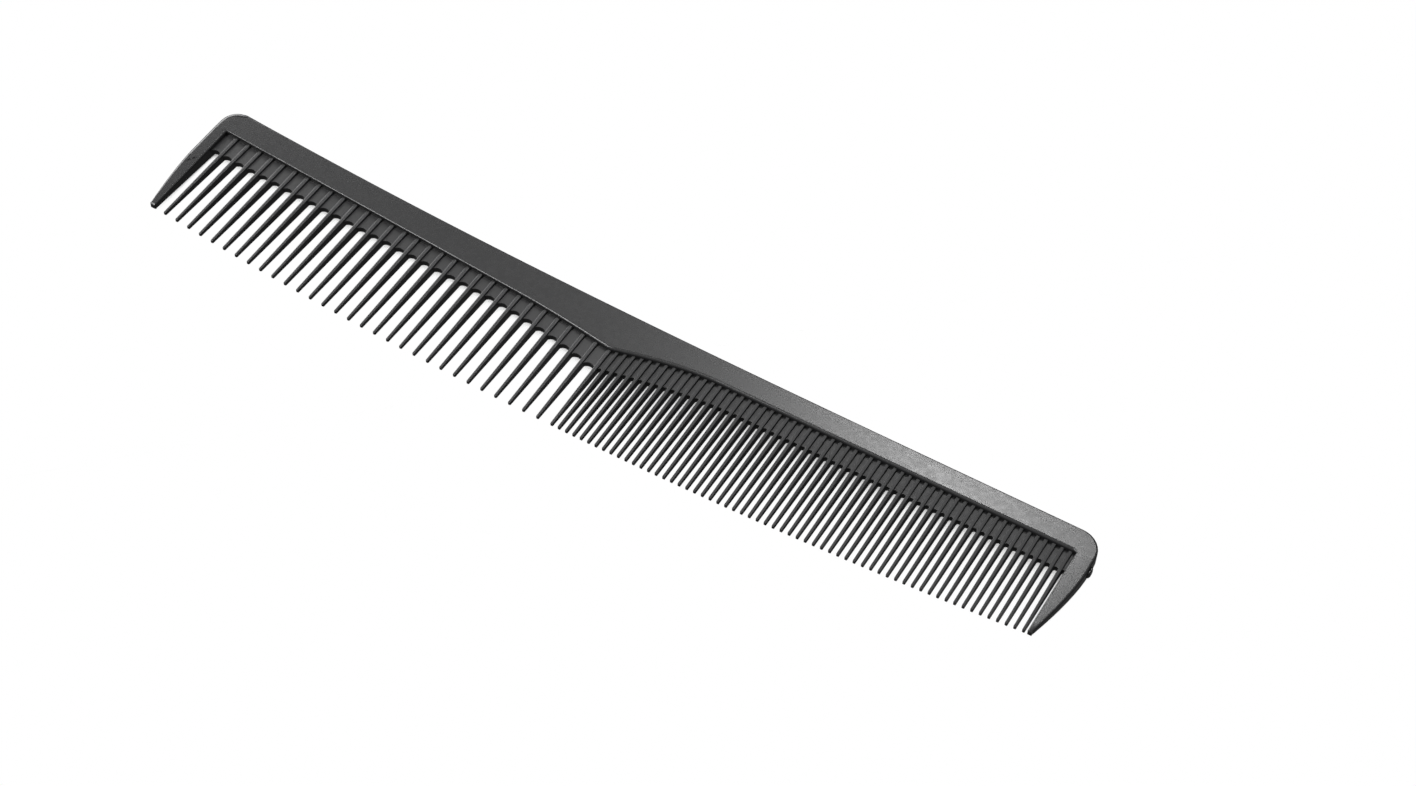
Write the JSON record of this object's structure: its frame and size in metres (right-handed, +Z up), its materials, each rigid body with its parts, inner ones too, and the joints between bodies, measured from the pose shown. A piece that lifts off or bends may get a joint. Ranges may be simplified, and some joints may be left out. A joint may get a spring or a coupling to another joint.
{
  "type": "cutting comb",
  "caption": "Flat barber's cutting comb with a coarse half and a fine half of teeth, a thin web under a solid spine and a broad guard tooth at each end.",
  "frame": {"origin": "on the face that the comb rests on, under the middle of its length and its width", "axes": "+X from the coarse end to the fine end, +Y from the tooth tips to the back, +Z up through the thickness"},
  "size_m": [0.1788, 0.0305, 0.003],
  "materials": {
    "comb_plastic": "fine satin grain, charcoal"
  },
  "bodies": {
    "root": {"spine": "comb_plastic", "coarse_guard_tooth": "comb_plastic", "fine_guard_tooth": "comb_plastic", "coarse_teeth": "comb_plastic", "fine_teeth": "comb_plastic", "coarse_web": "comb_plastic", "fine_web": "comb_plastic", "gate_nib": "comb_plastic"}
  },
  "joints": []
}
